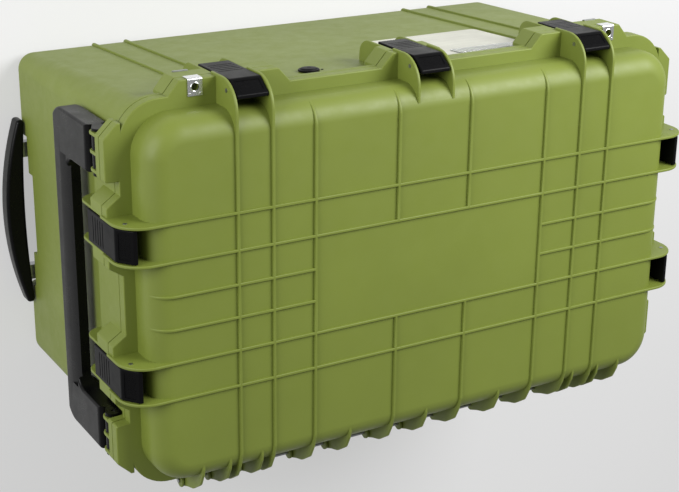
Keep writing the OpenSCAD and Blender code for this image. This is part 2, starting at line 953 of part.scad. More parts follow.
module rubber_feet() {
    color(RUBBER) for (x = [-262, 300], y = [-150, 150]) translate([x, y, 0]) {
        cylinder(r1 = 12.5, r2 = 14, h = foot_h - 1);
        translate([0, 0, foot_h - 1]) cylinder(r = 14, h = 1);
    }
}

base_shell();
lid_shell();
lid_gasket();
lid_foam();
hinge_rod();
latch_lever(0);  // latch_lever_front_left
latch_lever(1);  // latch_lever_front_centre
latch_lever(2);  // latch_lever_front_right
latch_lever(3);  // latch_lever_left_front
latch_lever(4);  // latch_lever_left_rear
latch_lever(5);  // latch_lever_right_front
latch_lever(6);  // latch_lever_right_rear
latch_hook(0);  // latch_hook_front_left
latch_hook(1);  // latch_hook_front_centre
latch_hook(2);  // latch_hook_front_right
latch_hook(3);  // latch_hook_left_front
latch_hook(4);  // latch_hook_left_rear
latch_hook(5);  // latch_hook_right_front
latch_hook(6);  // latch_hook_right_rear
hook_pin(0);  // hook_pin_front_left
hook_pin(1);  // hook_pin_front_centre
hook_pin(2);  // hook_pin_front_right
hook_pin(3);  // hook_pin_left_front
hook_pin(4);  // hook_pin_left_rear
hook_pin(5);  // hook_pin_right_front
hook_pin(6);  // hook_pin_right_rear
latch_pivot_pins();
latch_catch_pins();
side_handle_left();
side_handle_right();
side_handle_pins();
lid_padlock_plates();
base_padlock_plates();
valve_body();
valve_o_ring();
valve_nut();
label_card();
label_window();
pull_grip();
pull_tubes();
tube_stops();
handle_guide();
guide_screws();
wheel_housings();
housing_screws();
wheel_axles();
wheel_tyre(-wheel_y);  // wheel_tyre_front
wheel_hub(-wheel_y);  // wheel_hub_front
wheel_bearings(-wheel_y);  // wheel_bearings_front
wheel_tyre(wheel_y);  // wheel_tyre_rear
wheel_hub(wheel_y);  // wheel_hub_rear
wheel_bearings(wheel_y);  // wheel_bearings_rear
rubber_feet();
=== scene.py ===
"""Looks for the wheeled equipment case: shells, latches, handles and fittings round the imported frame."""

import json
import math

import bmesh
import bpy
from mathutils import Matrix, Vector


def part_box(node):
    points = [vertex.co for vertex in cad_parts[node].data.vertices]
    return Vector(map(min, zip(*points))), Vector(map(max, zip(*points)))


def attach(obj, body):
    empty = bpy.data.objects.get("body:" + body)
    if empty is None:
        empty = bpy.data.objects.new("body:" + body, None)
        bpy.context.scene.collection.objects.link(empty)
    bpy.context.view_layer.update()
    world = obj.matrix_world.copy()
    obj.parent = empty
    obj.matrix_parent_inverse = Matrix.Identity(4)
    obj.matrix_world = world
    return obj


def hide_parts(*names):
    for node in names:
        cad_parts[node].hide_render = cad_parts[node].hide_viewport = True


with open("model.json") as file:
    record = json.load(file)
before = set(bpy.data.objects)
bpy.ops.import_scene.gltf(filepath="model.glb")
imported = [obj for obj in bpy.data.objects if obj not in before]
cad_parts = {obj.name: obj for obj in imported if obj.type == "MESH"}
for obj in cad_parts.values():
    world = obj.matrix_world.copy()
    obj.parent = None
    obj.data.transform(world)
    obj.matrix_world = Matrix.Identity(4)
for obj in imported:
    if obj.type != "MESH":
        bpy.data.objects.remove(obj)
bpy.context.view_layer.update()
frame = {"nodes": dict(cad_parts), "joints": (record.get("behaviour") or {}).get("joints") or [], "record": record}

# ---------- sizes, in millimetres ----------

MM = 0.001
JOINTS = {joint["name"]: joint for joint in frame["joints"]}


def corner_mm(node, which):
    """Lowest (0) or highest (1) corner of a CAD node, in millimetres."""
    return [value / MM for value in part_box(node)[which]]


def pivot_mm(joint):
    """A joint's position in millimetres."""
    return [value / MM for value in JOINTS[joint]["pos_m"]]


HINGE_Y, PART_Z = pivot_mm("lid_hinge")[1:]
RIB_H = 3.0
LID_H = corner_mm("lid_shell", 1)[2] - PART_Z - RIB_H
LID_L, LID_D = 734.0, 440.0
LID_CORNER, LID_EDGE = 46.0, 27.0
WALL = 4.5
RIM_OUT, RIM_H, RIM_GAP = 14.0, 14.0, 0.4
END_X = LID_L / 2 + RIM_OUT
FRONT_Y = LID_D / 2 + RIM_OUT + 0.5
RIM_CORNER = LID_CORNER + 4
LUG_OUT = 16.5
FRONT_LUG_H, LATCH_LUG_H, HANDLE_LUG_H = 26, 34, 12      # depth of the base's lugs
FIN_T = 3.6
FIN_OUT = 19.0
SOFT = 1.1          # usual softening of a moulded edge
FOOT_H = 5.0

BASE_TOP_X, BASE_LOW_X = 370.0, 365.0
BASE_TOP_Y, BASE_LOW_Y = (-226.8, 214.0), (-209.4, 207.0)
BASE_CORNER, BASE_LOW_CORNER, BASE_EDGE = 40.0, 21.0, 12.0
SPLIT = 0.7          # half the visible gap between the rims
FLARE_H, RIM_BAND_H = 38, 7
FLARE_X, FLARE_FRONT, FLARE_BACK = 366, 224, 211      # where the flare leaves the walls
BAND_DROP, BAND_L = 62, 284          # thick band on each end wall

COMB_Y = (152, 173, 194.5)           # fins that carry a side handle's pins
COMB_T, COMB_R, COMB_TOP = 4, 11.5, 5
GRIP_H, ARM_W, BOSS_R = 44, 55, 10   # side handle: grip, arms, and the bosses on the pins
PIN_BORE = 2.6                       # radius of the pin bores

PADLOCK_R, PADLOCK_Y = 4.5, -FRONT_Y - 7.5
PLATE_W, PLATE_T = 18, 1.2

LATCH_X, LATCH_Y = 238.6, 83.2
RIB_X_LONG = (161.7, LATCH_X - 22.2, LATCH_X + 22.2)
RIB_X_SHORT = 50.3
RIB_Y_LONG = (LATCH_Y - 22.3, LATCH_Y + 22.3)
RIB_Y_SHORT = 19.9
HINGE_X = (0, 50.3, 111, 161.7, 216.4, 232, 260.8, 274, 309)
KNUCKLE_PITCH = FIN_T + 0.4
KNUCKLE_R = 8.5

# Latch sites: half the distance between the fins
SITES = {
    "front_left": 22.2, "front_centre": 24.0, "front_right": 22.2,
    "left_front": 22.3, "left_rear": 22.3, "right_front": 22.3, "right_rear": 22.3,
}

# ---------- mesh tools ----------


def new_object(name, bm, material=None):
    """A mesh object made from bm, whose millimetres become metres."""
    bmesh.ops.scale(bm, vec=(MM, MM, MM), verts=bm.verts)
    mesh = bpy.data.meshes.new(name)
    bm.to_mesh(mesh)
    bm.free()
    obj = bpy.data.objects.new(name, mesh)
    bpy.context.scene.collection.objects.link(obj)
    if material:
        mesh.materials.append(material)
    return obj


def counter_clockwise(points):
    area = sum(a[0] * b[1] - b[0] * a[1] for a, b in zip(points, points[1:] + points[:1]))
    return points if area > 0 else points[::-1]


def rounded(points, steps=6):
    """An outline whose corners (x, y, radius) are turned into arcs."""
    out = []
    for i, point in enumerate(points):
        here = Vector(point[:2])
        radius = point[2] if len(point) > 2 else 0
        if not radius:
            out.append(tuple(here))
            continue
        before = (Vector(points[i - 1][:2]) - here).normalized()
        after = (Vector(points[(i + 1) % len(points)][:2]) - here).normalized()
        half = before.angle(after) / 2
        centre = here + (before + after).normalized() * radius / math.sin(half)
        start = here + before * radius / math.tan(half) - centre
        end = here + after * radius / math.tan(half) - centre
        turn = math.atan2(start.x * end.y - start.y * end.x, start.dot(end))
        out += [tuple(centre + Matrix.Rotation(turn * k / steps, 2) @ start) for k in range(steps + 1)]
    return out


def circle(x, y, radius, steps=32):
    return [
        (x + radius * math.cos(2 * math.pi * k / steps), y + radius * math.sin(2 * math.pi * k / steps))
        for k in range(steps)
    ]


def box_outline(low_x, high_x, low_y, high_y, radius=0, steps=6):
    corners = [(low_x, low_y), (high_x, low_y), (high_x, high_y), (low_x, high_y)]
    return rounded([(x, y, radius) for x, y in corners], steps)


def inset(points, distance):
    """A counter-clockwise outline moved inwards by distance."""
    out = []
    for i, point in enumerate(points):
        here = Vector(point)
        before = (here - Vector(points[i - 1])).normalized()
        after = (Vector(points[(i + 1) % len(points)]) - here).normalized()
        normal_a, normal_b = Vector((-before.y, before.x)), Vector((-after.y, after.x))
        spread = max(1 + normal_a.dot(normal_b), 0.3)
        out.append(tuple(here + (normal_a + normal_b) * distance / spread))
    return out


def loft(bm, rings, hollow=False):
    """Faces between closed rings of equal length, then caps, or faces back to the first if hollow."""
    loops = [[bm.verts.new(point) for point in ring] for ring in rings]
    for low, high in zip(loops, loops[1:] + (loops[:1] if hollow else [])):
        for i in range(len(low)):
            bm.faces.new((low[i - 1], low[i], high[i], high[i - 1]))
    if not hollow:
        bm.faces.new(loops[0][::-1])
        bm.faces.new(loops[-1])


def soft_levels(low, high, soft, steps=3, low_soft=None):
    """(inset, height) pairs of a slab whose two rims are rounded by soft, or the lower by low_soft."""
    turns = [math.pi / 2 * k / steps for k in range(steps + 1)]
    under = soft if low_soft is None else low_soft
    rise = [(under * (1 - math.sin(t)), low + under * (1 - math.cos(t))) for t in turns]
    fall = [(soft * (1 - math.sin(t)), high - soft * (1 - math.cos(t))) for t in turns[::-1]]
    return rise + fall


def slab(name, outline, levels, place=Matrix()):
    """Closed slab: the outline at each level's inset and height, moved by place."""
    outline = counter_clockwise(list(outline))
    bm = bmesh.new()
    loft(bm, [[(x, y, height) for x, y in inset(outline, distance)] for distance, height in levels])
    bm.transform(place)
    bmesh.ops.recalc_face_normals(bm, faces=bm.faces)
    return new_object(name, bm)


def plate(outline, width, place, soft=SOFT, at=0.0, steps=3):
    """Outline given a width across its own plane, with round edges."""
    return slab("plate", outline, soft_levels(at - width / 2, at + width / 2, soft, steps), place)


def block(low, high, soft=0.0):
    """Box between two corners."""
    outline = box_outline(low[0], high[0], low[1], high[1], soft, 3) if soft else [
        (low[0], low[1]), (high[0], low[1]), (high[0], high[1]), (low[0], high[1])
    ]
    levels = soft_levels(low[2], high[2], soft) if soft else [(0, low[2]), (0, high[2])]
    return slab("block", outline, levels)


def axes(u, v, w, origin=(0, 0, 0)):
    """Matrix that takes an outline's own u, v and width w to the case's axes."""
    return Matrix.Translation(Vector(origin)) @ Matrix((u, v, w)).transposed().to_4x4()


def across_x(x=0, z=0):
    """Places an outline in (y, z) whose width runs along x."""
    return axes((0, 1, 0), (0, 0, 1), (1, 0, 0), (x, 0, z))


def across_y(y=0, z=0):
    """Places an outline in (x, z) whose width runs along y."""
    return axes((1, 0, 0), (0, 0, 1), (0, 1, 0), (0, y, z))


def turned(name, profile, place, steps=48, hollow=False):
    """Solid of revolution from (radius, height) points, about place's third axis."""
    bm = bmesh.new()
    turns = [2 * math.pi * k / steps for k in range(steps)]
    rings = [[(r * math.cos(t), r * math.sin(t), z) for t in turns] for r, z in profile]
    loft(bm, rings, hollow)
    bm.transform(place)
    bmesh.ops.recalc_face_normals(bm, faces=bm.faces)
    return new_object(name, bm)


def joined(name, parts):
    """One object with the meshes of several, which are used up."""
    bm = bmesh.new()
    for part in parts:
        bm.from_mesh(part.data)
        bpy.data.objects.remove(part)
    bmesh.ops.scale(bm, vec=(1 / MM,) * 3, verts=bm.verts)
    return new_object(name, bm)


def applied(obj):
    """Replaces obj's mesh by its evaluated one and drops its modifiers."""
    evaluated = obj.evaluated_get(bpy.context.evaluated_depsgraph_get())
    mesh = bpy.data.meshes.new_from_object(evaluated)
    obj.modifiers.clear()
    obj.data = mesh
    return obj


def combine(first, others, operation):
    """Boolean of first with every object of others, which are used up."""
    group = bpy.data.collections.new("tools")
    for other in others:
        group.objects.link(other)
    modifier = first.modifiers.new("join", "BOOLEAN")
    modifier.operation = operation
    modifier.solver = "MANIFOLD"
    modifier.operand_type = "COLLECTION"
    modifier.collection = group
    applied(first)
    for other in others:
        bpy.data.objects.remove(other)
    bpy.data.collections.remove(group)
    return first


def union(parts, cuts=()):
    solid = combine(parts[0], parts[1:], "UNION") if len(parts) > 1 else parts[0]
    return combine(solid, list(cuts), "DIFFERENCE") if cuts else solid


def finish(obj, name, material, body, nodes=(), sharp=32):
    """Names a piece, smooths its round faces, gives it its material and puts it on its body."""
    obj.name = name
    obj.data.name = name
    mesh = obj.data
    mesh.materials.clear()
    mesh.materials.append(material)
    for polygon in mesh.polygons:
        polygon.material_index = 0
        polygon.use_smooth = True
    mesh.set_sharp_from_angle(angle=math.radians(sharp))
    modifier = obj.modifiers.new("shading", "WEIGHTED_NORMAL")
    modifier.keep_sharp = True
    applied(obj)
    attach(obj, body)
    if nodes:
        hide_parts(*nodes)
    return obj


def copy_at(obj, place):
    """A copy of a piece's mesh moved by place (millimetres), with its faces kept outwards."""
    bm = bmesh.new()
    bm.from_mesh(obj.data)
    bmesh.ops.scale(bm, vec=(1 / MM,) * 3, verts=bm.verts)
    bm.transform(place)
    if place.to_3x3().determinant() < 0:
        bmesh.ops.reverse_faces(bm, faces=bm.faces)
    return new_object("copy", bm)


def moved(obj, place):
    """A piece's mesh moved by place (millimetres). The piece is used up."""
    result = copy_at(obj, place)
    bpy.data.objects.remove(obj)
    return result


MIRROR_X = Matrix.Diagonal((-1, 1, 1, 1))

# ---------- materials ----------


class Shader:
    """A Principled material with a few named procedural layers."""

    def __init__(self, name, **sockets):
        self.material = bpy.data.materials.new(name)
        self.material.use_nodes = True
        self.nodes = self.material.node_tree.nodes
        self.links = self.material.node_tree.links
        self.bsdf = self.nodes["Principled BSDF"]
        for socket, value in sockets.items():
            self.bsdf.inputs[socket.replace("_", " ")].default_value = value
        self.place = self.nodes.new("ShaderNodeTexCoord").outputs["Object"]

    def noise(self, scale, detail=2.0, roughness=0.5, stretch=None):
        node = self.nodes.new("ShaderNodeTexNoise")
        node.inputs["Scale"].default_value = scale
        node.inputs["Detail"].default_value = detail
        node.inputs["Roughness"].default_value = roughness
        place = self.place
        if stretch:
            mapping = self.nodes.new("ShaderNodeMapping")
            mapping.inputs["Scale"].default_value = stretch
            self.links.new(place, mapping.inputs["Vector"])
            place = mapping.outputs["Vector"]
        self.links.new(place, node.inputs["Vector"])
        return node.outputs["Fac"]

    def ramp(self, value, low, high, low_at=0.3, high_at=0.7):
        node = self.nodes.new("ShaderNodeValToRGB")
        for element, at, shade in zip(node.color_ramp.elements, (low_at, high_at), (low, high)):
            element.position = at
            element.color = shade if hasattr(shade, "__len__") else (shade, shade, shade, 1)
        self.links.new(value, node.inputs["Fac"])
        return node.outputs["Color"]

    def bump(self, height, strength, distance):
        node = self.nodes.new("ShaderNodeBump")
        node.inputs["Strength"].default_value = strength
        node.inputs["Distance"].default_value = distance
        self.links.new(height, node.inputs["Height"])
        if self.bsdf.inputs["Normal"].links:
            self.links.new(self.bsdf.inputs["Normal"].links[0].from_socket, node.inputs["Normal"])
        self.links.new(node.outputs["Normal"], self.bsdf.inputs["Normal"])

    def math(self, operation, *values):
        """Result of an operation on sockets and numbers."""
        node = self.nodes.new("ShaderNodeMath")
        node.operation = operation
        for value, socket in zip(values, node.inputs):
            if isinstance(value, float):
                socket.default_value = value
            else:
                self.links.new(value, socket)
        return node.outputs[0]

    def into(self, value, socket):
        self.links.new(value, self.bsdf.inputs[socket])


def rgb(red, green, blue, share=1.0):
    return (red * share, green * share, blue * share, 1)


def moulded(name, colour, roughness, grain=0.06, spread=0.05, grain_scale=1100, gloss=0.5):
    """Moulded plastic: faint flow marks in the colour, a fine spark-eroded grain."""
    shader = Shader(name, Specular_IOR_Level=gloss)
    marks = shader.noise(5, 4, 0.6)
    shader.into(shader.ramp(marks, rgb(*colour, 1 - spread), rgb(*colour, 1 + spread)), "Base Color")
    wear = shader.noise(38, 6, 0.7)
    shader.into(shader.ramp(wear, roughness - 0.05, roughness + 0.06, 0.35, 0.65), "Roughness")
    shader.bump(shader.noise(grain_scale, 2), grain, 0.0004)
    return shader.material


def metal(name, colour, roughness, stretch):
    shader = Shader(name, Metallic=1.0)
    lines = shader.noise(400, 3, 0.6, stretch)
    shader.into(shader.ramp(lines, rgb(*colour, 0.9), rgb(*colour, 1.06)), "Base Color")
    shader.into(shader.ramp(lines, roughness - 0.07, roughness + 0.08), "Roughness")
    shader.bump(lines, 0.08, 0.0002)
    return shader.material


GREEN = (0.158, 0.198, 0.030)
green = moulded("green_polymer", GREEN, 0.5, gloss=0.4)
black = moulded("black_plastic", (0.006, 0.006, 0.0063), 0.44, 0.12, gloss=0.12)
latch_black = moulded("latch_plastic", (0.004, 0.004, 0.0043), 0.32, 0.10, 0.1, 1500, 0.06)
handle_black = moulded("handle_plastic", (0.003, 0.003, 0.0032), 0.30, 0.08, 0.1, 1300, 0.15)
rubber = moulded("seal_rubber", (0.014, 0.014, 0.015), 0.62, 0.25, 0.12, 900)
tyre_black = moulded("tyre_rubber", (0.020, 0.020, 0.021), 0.58, 0.2, 0.15, 700)
steel = metal("plain_steel", (0.34, 0.35, 0.36), 0.38, (1, 1, 6))
bright_steel = metal("bright_steel", (0.80, 0.81, 0.82), 0.24, (6, 1, 1))
aluminium = metal("tube_aluminium", (0.62, 0.63, 0.65), 0.34, (0.05, 4, 4))


def foam_material():
    shader = Shader("charcoal_foam", Roughness=0.95)
    cells = shader.noise(900, 3, 0.7)
    dark, pale = rgb(0.012, 0.013, 0.014), rgb(0.050, 0.052, 0.056)
    shader.into(shader.ramp(cells, dark, pale, 0.35, 0.65), "Base Color")
    shader.bump(cells, 0.6, 0.0008)
    return shader.material


def clear_material():
    shader = Shader("clear_plastic", Transmission_Weight=0.92, IOR=1.46)
    haze = shader.noise(60, 4, 0.6)
    shader.into(shader.ramp(haze, rgb(0.80, 0.84, 0.80), rgb(0.93, 0.95, 0.92)), "Base Color")
    shader.into(shader.ramp(haze, 0.06, 0.16), "Roughness")
    return shader.material


def label_material():
    """White card with a few pale ruled lines, drawn in the card's own UV (millimetres)."""
    shader = Shader("label_card", Roughness=0.42)
    uv = shader.nodes.new("ShaderNodeUVMap")
    uv.uv_map = "card"
    split = shader.nodes.new("ShaderNodeSeparateXYZ")
    shader.links.new(uv.outputs["UV"], split.inputs["Vector"])
    pitch, half_line, half_width = 7.5, 0.22, 68.0
    lines = shader.math("LESS_THAN", shader.math("PINGPONG", split.outputs["Y"], pitch), half_line)
    inside = shader.math("COMPARE", split.outputs["X"], 0.0, half_width)
    ruled = shader.math("MULTIPLY", lines, inside)
    tint = shader.ramp(shader.noise(30, 3), rgb(0.50, 0.50, 0.43), rgb(0.58, 0.58, 0.50))
    mix = shader.nodes.new("ShaderNodeMix")
    mix.data_type = "RGBA"
    shader.links.new(ruled, mix.inputs["Factor"])
    shader.links.new(tint, mix.inputs["A"])
    mix.inputs["B"].default_value = rgb(0.36, 0.37, 0.32)
    shader.into(mix.outputs["Result"], "Base Color")
    shader.bump(shader.noise(700, 2), 0.04, 0.0003)
    return shader.material


# ---------- latch sites ----------


def site_matrix(site):
    """Takes (out from the rim, up from the parting plane, along the rim) to the case's axes."""
    x, y, _ = pivot_mm("latch_" + site)
    if site.startswith("front"):
        return axes((0, -1, 0), (0, 0, 1), (1, 0, 0), (x, -FRONT_Y, PART_Z))
    side = 1 if site.startswith("right") else -1
    return axes((side, 0, 0), (0, 0, 1), (0, 1, 0), (side * END_X, y, PART_Z))


def both_fins(outline, site, soft=SOFT):
    return [plate(outline, FIN_T, site_matrix(site), soft, at=side * SITES[site]) for side in (-1, 1)]


# ---------- rims and lugs ----------

# Lugs beside the latches, as (start, end, slope before, slope after) along the rim; a cut end has slope 0
FRONT_LUGS = [(-33, -24, 15, 0), (24, 33, 0, 15)]
for side in (-1, 1):
    pieces = [(184, RIB_X_LONG[1], 15, 0), (RIB_X_LONG[2], 307, 0, 14)]
    FRONT_LUGS += [piece if side > 0 else (-piece[1], -piece[0], piece[3], piece[2]) for piece in pieces]
LATCH_LUGS = []
for side in (-1, 1):
    pieces = [(47, RIB_Y_LONG[0], 11, 0), (RIB_Y_LONG[1], 118, 0, 12)]
    LATCH_LUGS += [piece if side > 0 else (-piece[1], -piece[0], piece[3], piece[2]) for piece in pieces]
HANDLE_LUGS = [(147, 196, 0.8, 16), (-196, -147, 16, 0.8)]


def lug_outline(start, end, before, after):
    """Seen from above: along the rim, out from the rim."""
    root = -4
    points = [(start - before, root), (start - before, 0), (start, LUG_OUT, 2.5 if before else 0)]
    points += [(end, LUG_OUT, 2.5 if after else 0), (end + after, 0), (end + after, root)]
    if not before:
        points.pop(1)
    if not after:
        points.pop(-2)
    return rounded(points, 3)


def lug_levels(low, high):
    """Rounded away from the parting plane, crisp at it."""
    if low > 0:
        return soft_levels(low, high, 1.4, 3, 0.3)
    return [(distance, -height) for distance, height in soft_levels(-high, -low, 1.4, 3, 0.3)]


def lugs(low_front, low_latch, low_handle, high):
    """Every lug between its own low level and a shared high one."""
    parts = []
    front = axes((1, 0, 0), (0, -1, 0), (0, 0, 1), (0, -FRONT_Y, PART_Z))
    for piece in FRONT_LUGS:
        parts.append(slab("lug", lug_outline(*piece), lug_levels(low_front, high), front))
    for side in (-1, 1):
        wall = axes((0, 1, 0), (side, 0, 0), (0, 0, 1), (side * END_X, 0, PART_Z))
        for low, pieces in ((low_latch, LATCH_LUGS), (low_handle, HANDLE_LUGS)):
            for piece in pieces:
                parts.append(slab("lug", lug_outline(*piece), lug_levels(low, high), wall))
    return parts


def rim(low, high):
    outline = box_outline(-END_X, END_X, -FRONT_Y, FRONT_Y, RIM_CORNER, 12)
    return slab("rim", outline, soft_levels(PART_Z + low, PART_Z + high, 1.5, 3, 0.3))


# ---------- lid ----------


def lid_slab(shrink, low):
    """The lid's rounded block, outside for shrink 0 or its cavity for shrink > 0."""
    half_l, half_d = LID_L / 2 - shrink, LID_D / 2 - shrink
    edge = LID_EDGE - shrink
    top = PART_Z + LID_H - shrink
    turns = [math.pi / 2 * k / 12 for k in range(13)]
    levels = [(0, PART_Z + low)]
    levels += [(edge * (1 - math.cos(t)), top - edge * (1 - math.sin(t))) for t in turns]
    outline = box_outline(-half_l, half_l, -half_d, half_d, LID_CORNER - shrink, 14)
    return slab("lid", outline, levels)


RIB_TOP = LID_H + RIB_H
FIN_R = 36.0
FADE_R = LID_EDGE + 2       # a rib that fades out where the lid's edge turns down
KNUCKLE = [
    (HINGE_Y - 32, LID_H - 2, 14), (HINGE_Y - 16, LID_H - 10, 10), (HINGE_Y - 2, 30, 20),
    (HINGE_Y + 2.5, 15, 12), (HINGE_Y + KNUCKLE_R, 0),
]
KNUCKLE_LOW = [
    (HINGE_Y + KNUCKLE_R * math.cos(-math.pi * k / 12), KNUCKLE_R * math.sin(-math.pi * k / 12))
    for k in range(1, 13)
]


def rib_along_y(x, start, end):
    """Rib over the lid at x. start and end say how it finishes on the latch side and the hinge side."""
    low = 20
    ends = {
        "fin": [(-FRONT_Y - FIN_OUT, RIM_GAP), (-FRONT_Y - FIN_OUT, RIB_TOP, FIN_R)],
        "fade": [(0.4 - LID_D / 2, low), (0.4 - LID_D / 2, RIB_TOP, FADE_R)],
        "knuckle": [(LID_D / 2 - 24, RIB_TOP, 14)] + KNUCKLE + KNUCKLE_LOW + [(190, RIM_GAP)],
    }
    points = ends[start] if isinstance(start, str) else [(start, low), (start, RIB_TOP)]
    points = points + (ends[end] if isinstance(end, str) else [(end, RIB_TOP), (end, low)])
    return plate(rounded(points, 10), FIN_T, across_x(x, PART_Z))


def rib_along_x(y, start, end):
    low = 20
    points = []
    for sign, stop in ((-1, start), (1, end)):
        if stop == "fin":
            half = [(sign * (END_X + FIN_OUT), RIM_GAP), (sign * (END_X + FIN_OUT), RIB_TOP, FIN_R)]
        elif stop == "fade":
            half = [(sign * (LID_L / 2 - 0.4), low), (sign * (LID_L / 2 - 0.4), RIB_TOP, FADE_R)]
        else:
            half = [(stop, low), (stop, RIB_TOP)]
        points += half if sign < 0 else half[::-1]
    return plate(rounded(points, 10), FIN_T, across_y(y, PART_Z))


def lone_knuckle(x):
    """Hinge knuckle that grows out of the lid's round edge, with no rib above it."""
    points = [(186, LID_H - 0.3), (205, LID_H - 0.3, 12)] + KNUCKLE + KNUCKLE_LOW + [(186, RIM_GAP)]
    return plate(rounded(points, 8), FIN_T, across_x(x, PART_Z))


def lid_ribs():
    parts = []
    for side in (-1, 1):
        for x in RIB_X_LONG:
            parts.append(rib_along_y(side * x, "fade" if x == RIB_X_LONG[0] else "fin", "knuckle"))
        parts.append(rib_along_y(side * RIB_X_SHORT, "fade", -RIB_Y_LONG[0]))
        parts.append(rib_along_y(side * RIB_X_SHORT, RIB_Y_LONG[0], "knuckle"))
        for y in RIB_Y_LONG:
            parts.append(rib_along_x(side * y, "fin", "fin"))
        parts.append(rib_along_x(side * RIB_Y_SHORT, "fade", -RIB_X_LONG[0]))
        parts.append(rib_along_x(side * RIB_Y_SHORT, RIB_X_LONG[0], "fade"))
    with_rib = (RIB_X_SHORT,) + RIB_X_LONG
    for x in HINGE_X:
        if x not in with_rib:
            parts += [lone_knuckle(side * x) for side in ((-1, 1) if x else (1,))]
    return parts


def centre_fins():
    """The middle latch's fins, which run out on the lid's round edge."""
    outline = rounded([
        (-34, 1), (FIN_OUT, 1), (FIN_OUT, LID_H - 0.2, FIN_R), (-34, LID_H - 0.2),
    ], 10)
    return both_fins(outline, "front_centre")


def gasket_groove():
    """Ring-shaped cutter for the lid's seal."""
    low, high = PART_Z - 1, corner_mm("lid_gasket", 1)[2]
    x, y = corner_mm("lid_gasket", 1)[:2]
    width, radius = 6.4, RIM_CORNER - 10
    outer = slab("groove", box_outline(-x, x, -y, y, radius, 10), [(0, low), (0, high)])
    x, y = x - width, y - width
    inner = slab("groove", box_outline(-x, x, -y, y, radius - width, 10), [(0, low - 1), (0, high + 1)])
    return combine(outer, [inner], "DIFFERENCE")


def padlock_cutters(low, high):
    """Bores of both padlock holes, between two levels from the parting plane."""
    x = corner_mm("lid_padlock_plates", 1)[0] - PLATE_W / 2
    return [
        slab("bore", circle(side * x, PADLOCK_Y, PADLOCK_R, 24), [(0, PART_Z + low), (0, PART_Z + high)])
        for side in (-1, 1)
    ]


def make_lid():
    parts = [lid_slab(0, RIM_GAP), rim(SPLIT, RIM_H)] + lugs(SPLIT, SPLIT, SPLIT, RIM_H)
    parts += lid_ribs() + centre_fins()
    cuts = [lid_slab(WALL, -1), gasket_groove()] + padlock_cutters(-1, RIM_H + 1)
    finish(union(parts, cuts), "lid", green, "lid", ["lid_shell"])


# ---------- base ----------


def base_outline(height, shrink):
    """The base's outline at a height, between the start of its round lower edge and the top."""
    share = (height - FOOT_H - BASE_EDGE) / (PART_Z - FOOT_H - BASE_EDGE)
    x = BASE_LOW_X + (BASE_TOP_X - BASE_LOW_X) * share - shrink
    front = BASE_LOW_Y[0] + (BASE_TOP_Y[0] - BASE_LOW_Y[0]) * share + shrink
    back = BASE_LOW_Y[1] + (BASE_TOP_Y[1] - BASE_LOW_Y[1]) * share - shrink
    radius = BASE_LOW_CORNER + (BASE_CORNER - BASE_LOW_CORNER) * share - shrink
    return box_outline(-x, x, front, back, radius, 10)


def base_block(shrink, top):
    low = FOOT_H + BASE_EDGE
    edge = BASE_EDGE - shrink
    rings = []
    start = base_outline(low, shrink)
    for k in range(9):
        turn = math.pi / 2 * k / 8
        distance = edge * (1 - math.sin(turn))
        rings.append([(x, y, low - edge * math.cos(turn)) for x, y in inset(start, distance)])
    rings.append([(x, y, top) for x, y in base_outline(top, shrink)])
    bm = bmesh.new()
    loft(bm, rings)
    bmesh.ops.recalc_face_normals(bm, faces=bm.faces)
    return new_object("base", bm)


def base_flare():
    """The wall spreads in a hollow curve out to the rim."""
    rings = []
    steps = 8
    for k in range(steps + 1):
        share = k / steps
        spread = share ** 2.2
        z = PART_Z - FLARE_H + (FLARE_H - RIM_BAND_H) * share
        x = FLARE_X + (END_X - FLARE_X) * spread
        front = -FLARE_FRONT - (FRONT_Y - FLARE_FRONT) * spread
        back = FLARE_BACK + (FRONT_Y - FLARE_BACK) * spread
        radius = BASE_CORNER + (RIM_CORNER - BASE_CORNER) * spread
        rings.append([(px, py, z) for px, py in box_outline(-x, x, front, back, radius, 10)])
    outline = box_outline(-END_X, END_X, -FRONT_Y, FRONT_Y, RIM_CORNER, 10)
    rings += [[(px, py, z) for px, py in outline] for z in (PART_Z - 5, PART_Z - SPLIT - 0.3)]
    rings.append([(px, py, PART_Z - SPLIT) for px, py in inset(outline, 0.3)])
    bm = bmesh.new()
    loft(bm, rings)
    bmesh.ops.recalc_face_normals(bm, faces=bm.faces)
    return new_object("flare", bm)


def end_bands():
    """The thicker band under the rim of each end wall, which slopes back into the wall."""
    wall, start = END_X - 9.6, 340
    top, low = PART_Z - 1, PART_Z - BAND_DROP
    outline = rounded([
        (start, top), (END_X, top), (END_X, low, 4), (wall, low - 10), (start, low - 10),
    ], 5)
    solid = plate(outline, BAND_L, across_y(), 3)
    return [solid, copy_at(solid, MIRROR_X)]


def handle_combs():
    """Thin fins that carry the side handles' pins."""
    x, _, z = pivot_mm("side_handle_right")
    start, front = 350, x + COMB_R
    top, low = PART_Z - COMB_TOP, z - COMB_R
    outline = rounded([(start, top), (front, top, 2), (front, low, 11), (start, low)], 8)
    parts = [plate(outline, COMB_T, across_y(side * y)) for side in (-1, 1) for y in COMB_Y]
    return parts + [copy_at(part, MIRROR_X) for part in list(parts)]


def base_knuckles():
    points = [
        (200, -44), (216, -40, 6), (HINGE_Y + 6, -6), (HINGE_Y + KNUCKLE_R, 0),
    ]
    points += [
        (HINGE_Y + KNUCKLE_R * math.cos(math.pi * k / 12), KNUCKLE_R * math.sin(math.pi * k / 12))
        for k in range(1, 13)
    ]
    points.append((200, -0.5))
    outline = rounded(points, 5)
    return [
        plate(outline, FIN_T, across_x(side * (x + KNUCKLE_PITCH), PART_Z))
        for x in HINGE_X for side in (-1, 1)
    ]


